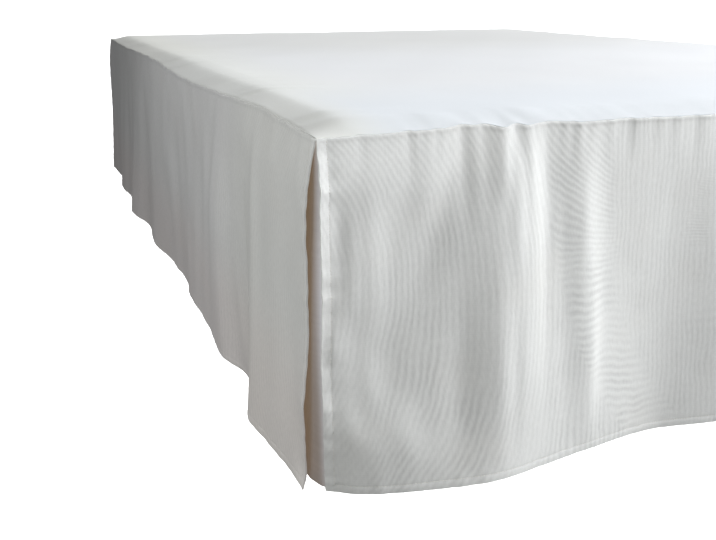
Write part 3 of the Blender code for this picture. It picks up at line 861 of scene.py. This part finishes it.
def deck_lines(length, fine_until):
    """Grid lines across the deck: place on the face, seam share (0 flat, 1 seam) and side."""
    insets = [1 - math.cos(math.radians(90 - a)) for a in reversed(DECK_ANGLES)]
    edge = [(DECK_EDGE * inset, 1 - inset, deck_rise(inset)) for inset in insets]
    low = [(inset, near, up, -1) for inset, near, up in edge][:-1]
    high = [(length - inset, near, up, 1) for inset, near, up in reversed(edge)][1:]
    flat = [(place, 0.0, 1.0, 0) for place in deck_axis(length, fine_until)]
    return np.array(low + flat + high)


def deck_rise(inset):
    """Height share of the deck's edge: an even slope up from the seam, then a soft knee."""
    slope = inset / DECK_SLOPE
    return min(1.0, 0.5 * (slope + 1.02 - math.sqrt((slope - 1) ** 2 + 0.04 * slope)))


def edge_slip(wall, along, near):
    """Slip of the deck's edge: the seam's reaches far in, the gathers' pull a little."""
    slip = seam_slip(wall, along)
    return slip * near + (drawn_slip(wall, along) - slip) * near ** 6


def deck_surface(across, down):
    """Points of the deck's face, from its grid lines across (x) and down (y)."""
    (px, py), (near_x, near_y), (up_x, up_y), (side_x, side_y) = (
        np.meshgrid(across[:, i], down[:, i]) for i in range(4))
    slip_foot = np.where(side_y < 0, edge_slip(FOOT, px, near_y), 0.0)
    slip_side = np.where(side_x < 0, edge_slip(LEFT, py, near_x),
                         np.where(side_x > 0, edge_slip(RIGHT, py, near_x), 0.0))
    tuck_x = seam_tuck(LEFT, py) * ease(up_x, 0.11, 0.0)
    tuck_y = seam_tuck(FOOT, px) * ease(up_y, 0.11, 0.0) * (side_y < 0)
    x = -SKIRT_WIDTH / 2 + px - side_x * (slip_side + tuck_x)
    y = FOOT_Y + py + slip_foot - side_y * tuck_y
    z = (SEAM_Z + (DECK_TOP - SEAM_Z) * up_x * up_y + SEAM_LIFT * (slip_side + slip_foot)
         + deck_relief(px, py) * up_x * up_y)
    return np.stack([x, y, z], -1)


def deck_relief(x, y):
    """Lifts of the laid cloth: broad waves, and gathers drawn in from the seams."""
    broad = soft_noise(x, y, DECK_SEED, 12, 0.9, 0.16)
    lifted = DECK_WAVE * np.maximum(0.0, 0.5 + 0.5 * broad)
    for wall, along, away, reach in ((FOOT, x, y, 0.07), (LEFT, y, x, 0.20),
                                     (RIGHT, y, SKIRT_WIDTH - x, 0.20)):
        pulls = soft_noise(along + 0.15 * away, 0 * away, wall.seed + 9, 12, 0.16, 0.035)
        lifted = lifted + DECK_GATHER * np.maximum(0.0, pulls) * ease(away, reach, 0.01)
    return lifted


def deck_sheet(finish):
    across = deck_lines(SKIRT_WIDTH, DECK_FINE_UNTIL[0])
    down = deck_lines(SKIRT_LENGTH, DECK_FINE_UNTIL[1])
    face = deck_surface(across, down)
    up = (0, 0, 1)
    under = face - normals_of(face, up)[0] * CLOTH
    x, y = np.meshgrid(across[:, 0], down[:, 0])
    maps = {"weave": (x, y), "edges": (x, SKIRT_LENGTH - y)}
    piece = sheet_object("deck_sheet", face, under, up, maps, finish, "deck_cloth")
    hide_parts("deck")
    return piece


# -------- the base and legs

BASE_CORNER_STEPS = 14
BASE_SIDE_PITCH = 0.045
BASE_EDGE_ANGLES = (90, 78, 66, 54, 42, 30, 18, 8, 0)
# Inset and height of the rings from the bottom, over its rounding, to past the sewn line.
BASE_LOW_LEVELS = ((0.05, 0.0), (0.006, 0.0), (0.0018, 0.0018), (0.0, 0.006),
                   (0.0, BASE_SEAM - 0.004), (0.0018, BASE_SEAM), (0.0, BASE_SEAM + 0.004))
BASE_HOLLOW = 0.0012 / 0.7  # share by which the sides are drawn in between their seams


def rounded_outline(inset):
    """Points of the base's level outline, brought in by inset, with evenly cut sides."""
    half_x = SKIRT_WIDTH / 2 - BASE_INSET - inset
    half_y = SKIRT_LENGTH / 2 - BASE_INSET - inset
    radius = max(0.004, BASE_CORNER - 0.4 * inset)
    points = []
    for quarter, (sx, sy) in enumerate(((1, 1), (-1, 1), (-1, -1), (1, -1))):
        upright = quarter in (1, 3)
        for step in range(BASE_CORNER_STEPS + 1):
            angle = math.radians(90 * (quarter + step / BASE_CORNER_STEPS))
            points.append((sx * (half_x - radius) + radius * math.cos(angle),
                           sy * (half_y - radius) + radius * math.sin(angle)))
        length = 2 * (half_y if upright else half_x) - 2 * radius
        count = round((SKIRT_LENGTH if upright else SKIRT_WIDTH) / BASE_SIDE_PITCH)
        run = (0, -sy) if upright else (-sx, 0)
        x, y = points[-1]
        points += [(x + run[0] * length * i / count, y + run[1] * length * i / count)
                   for i in range(1, count)]
    return np.array(points)


def upholstered_base(finish):
    """The covered base: a soft-edged box with a sewn line low on its sides."""
    levels = [(inset, BASE_BOTTOM + up) for inset, up in BASE_LOW_LEVELS]
    side_top = BASE_TOP - BASE_EDGE_DEPTH
    levels += [(0.0, blend(BASE_BOTTOM + BASE_SEAM + 0.02, side_top, i / 5)) for i in range(5)]
    levels += [(BASE_EDGE * (1 - math.sin(turn)), BASE_TOP - BASE_EDGE_DEPTH * (1 - math.cos(turn)))
               for turn in map(math.radians, BASE_EDGE_ANGLES)]
    levels += [(BASE_EDGE + 0.08, BASE_TOP), (BASE_EDGE + 0.24, BASE_TOP)]
    rings = []
    for inset, z in levels:
        outline = rounded_outline(inset)
        hollow = (BASE_HOLLOW * ease(z, BASE_BOTTOM + BASE_SEAM, BASE_BOTTOM + 0.07)
                  * ease(z, BASE_TOP - 0.004, BASE_TOP - 0.03))
        x, y = outline.T
        around = soft_noise(x * 3, y * 3 + z * 6, BASE_SEED, 10, 0.8, 0.2)
        x, y = (outline * (1 - hollow * np.maximum(0, 0.5 + 0.5 * around))[:, None]).T
        rings.append(np.column_stack([x, y + MIDDLE_Y, np.full(len(x), z)]))
    points = np.concatenate(rings)
    index = np.arange(len(points)).reshape(len(rings), -1)
    faces = [index[0, ::-1].tolist(), index[-1].tolist()]
    faces += quads_of(np.column_stack([index, index[:, 0]])).tolist()
    mesh = smooth_mesh("base_cover", points.tolist(), faces)
    mesh.set_sharp_from_angle(angle=math.radians(BASE_SHARP))
    piece = placed("base_cover", mesh, finish, "base_cover")
    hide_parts("bed_base")
    return piece


def finish_legs(finish):
    for place in ("foot", "middle", "head"):
        for side in ("left", "right"):
            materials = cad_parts[f"leg_{place}_{side}"].data.materials
            materials.clear()
            materials.append(finish)


# -------- stage, lights, camera

FLOOR_REACH = 9.0
WALL_DISTANCE = 3.6  # from the bed's middle to where the sweep starts to rise
SWEEP = 1.6  # radius of its rise
SWEEP_TOP = 7.0


def sweep():
    """A pale floor that curves up into a plain backdrop."""
    profile = [(-FLOOR_REACH, 0.0), (WALL_DISTANCE, 0.0)]
    profile += [(WALL_DISTANCE + SWEEP * math.sin(a), SWEEP * (1 - math.cos(a)))
                for a in np.linspace(0, math.pi / 2, 20)[1:]]
    profile.append((WALL_DISTANCE + SWEEP, SWEEP_TOP))
    points = [(side * FLOOR_REACH, y, z) for side in (-1, 1) for y, z in profile]
    count = len(profile)
    faces = [(i, count + i, count + i + 1, i + 1) for i in range(count - 1)]
    mesh = smooth_mesh("studio_sweep", points, faces)
    made, tree = new_material("studio_paper", 0.9)
    cloudy = noise(object_place(tree), 0.4)
    mesh.materials.append(finished(made, mix_colours(tree, cloudy, *PAPER_COLOURS)))
    floor = linked("studio_sweep", mesh)
    floor.visible_diffuse = False
    floor.visible_glossy = False
    return floor


SKY_STRENGTH = 0.11
LIT_POINT = Vector((-0.6, -0.85, 0.2))  # the corner that the lights are turned to
CLEAR = (1.0, 1.0, 0.99)
COOL = (0.965, 0.99, 1.05)
WARM = (1.0, 1.0, 0.965)
GLOW = (1.0, 0.67, 0.38)

# Square lights that stand off from the lit point in a direction. Each spares some groups
# of pieces, lights "only" some, or lights them "shadowless", where nothing else casts a
# shadow on them. The spread is in degrees.
Lamp = namedtuple("Lamp", "name direction distance side watts tint effect groups spread",
                  defaults=(180,))
LAMPS = (
    ("key_light", (0.8, -0.5, 0.35), 3, 1.5, 8.85, CLEAR, "spare", "deck underlays right", 56),
    ("back_light", (0.8, 0.6, 0.5), 9, 3, 560, COOL, "spare", "deck underlays right"),
    ("right_light", (0.93, -0.3, 0.25), 2.1, 1, 1.4, CLEAR, "spare", "deck underlays", 56),
    ("high_light", (0.75, -0.3, 0.8), 2, 1.2, 10.6, COOL, "spare", "deck underlays"),
    ("deck_light", (0.85, -0.5, 0.4), 20, 7, 4750, CLEAR, "shadowless", "deck"),
    ("deck_back_light", (0.8, 0.55, 0.4), 20, 7, 3080, COOL, "shadowless", "deck"),
    ("left_fill", (-0.95, -0.25, 0.3), 1.6, 1, 11.6, WARM, "spare", "underlays left"),
    ("right_wall_light", (0.75, -0.6, 0.35), 15, 4, 1300, CLEAR, "only", "right"),
    ("left_wall_fill", (-0.95, -0.25, 0.55), 1.6, 1, 9.5, WARM, "only", "left"),
    ("left_wall_rake", (-0.45, -0.9, 0.4), 1.6, 0.8, 4.9, WARM, "only", "left"),
    ("left_wall_far", (-0.5, 0.8, 0.6), 1.2, 0.6, 0.72, CLEAR, "only", "left"),
    ("paper_light", (0.05, -0.1, 1), 4.5, 5, 90, CLEAR, "only", "floor"),
    ("paper_even_light", (0.05, -0.1, 1), 4.5, 5, 280, CLEAR, "shadowless", "floor"),
    ("paper_wall_light", (0.75, -1, 0.6), 6, 5, 1700, CLEAR, "shadowless", "floor"),
    ("through_cloth", (-1, 0, 0.1), 0.8, 0.5, 0.92, GLOW, "shadowless", "underlays"),
    ("through_split", (0.02, -1, 0.25), 0.9, 0.4, 4.1, COOL, "shadowless", "underlays"),
)


def area_light(row):
    light = bpy.data.lights.new(row.name, "AREA")
    light.shape = "SQUARE"
    light.size = row.side
    light.energy = row.watts
    light.spread = math.radians(row.spread)
    light.color = row.tint
    lamp = linked(row.name, light)
    away = Vector(row.direction).normalized()
    lamp.location = LIT_POINT + away * row.distance
    lamp.rotation_euler = away.to_track_quat("Z", "Y").to_euler()
    return lamp


def studio_lights(**groups):
    """The sky and the table's lights, each linked to its groups of pieces."""
    world = bpy.data.worlds.new("studio")
    world.use_nodes = True
    sky = world.node_tree.nodes["Background"]
    sky.inputs["Color"].default_value = (1.0, 1.0, 1.0, 1)
    sky.inputs["Strength"].default_value = SKY_STRENGTH
    bpy.context.scene.world = world
    for row in (Lamp(*cells) for cells in LAMPS):
        lamp = area_light(row)
        named = bpy.data.collections.new(f"{row.name}_{row.effect}")
        for piece in (piece for group in row.groups.split() for piece in groups[group]):
            named.objects.link(piece)
        if row.effect == "spare":
            for member in named.collection_objects:
                member.light_linking.link_state = "EXCLUDE"
        lamp.light_linking.receiver_collection = named
        if row.effect == "shadowless":
            lamp.light_linking.blocker_collection = named


CAMERA_ANGLES = (-21.299, 18.361)  # azimuth and elevation
CAMERA_LENS = 42.23
CAMERA_AT = (-SKIRT_WIDTH / 2 - 0.2547, FOOT_Y - 0.7641, 0.5251)


def camera():
    azimuth, elevation = map(math.radians, CAMERA_ANGLES)
    back = Vector((math.sin(azimuth) * math.cos(elevation),
                   -math.cos(azimuth) * math.cos(elevation), math.sin(elevation)))
    seen = bpy.data.cameras.new("camera")
    seen.sensor_width = 36.0
    seen.lens = CAMERA_LENS
    seen.clip_start = 0.02
    stand = linked("camera", seen)
    stand.location = CAMERA_AT
    stand.rotation_euler = back.to_track_quat("Z", "Y").to_euler()
    bpy.context.scene.camera = stand


# -------- the whole

def main():
    ribbed = ribbed_cloth("foot_cloth", WHITE, 0.070, crossed=True)
    faint = ribbed_cloth("side_cloth", WHITE, 0.040, tints=SIDE_TINTS_AND_PAINTED_BOUNCE)
    # the underlays' cloth is the same white with painted shade, as they hang in shade behind the
    # panels
    shade = ribbed_cloth("underlay_cloth", UNDERLAY_SHADED_WHITE, 0.040)
    top = deck_sheet(smooth_white())
    thread = thread_material()
    panels = []
    for wall in (LEFT, FOOT, RIGHT):
        piece, creases = panel(wall, ribbed if wall is FOOT else faint)
        sewn = stitches(wall, creases, thread)
        panels.append((piece, sewn))
    underlays = (corner_underlay("corner_underlay_left", LEFT, 1, shade),
                 corner_underlay("corner_underlay_right", RIGHT, -1, shade))
    upholstered_base(base_cloth())
    finish_legs(stained_wood())
    studio_lights(floor=[sweep()], deck=[top], underlays=underlays, left=panels[0],
                  right=panels[2])
    camera()
    bpy.context.scene.view_settings.view_transform = "Standard"


main()
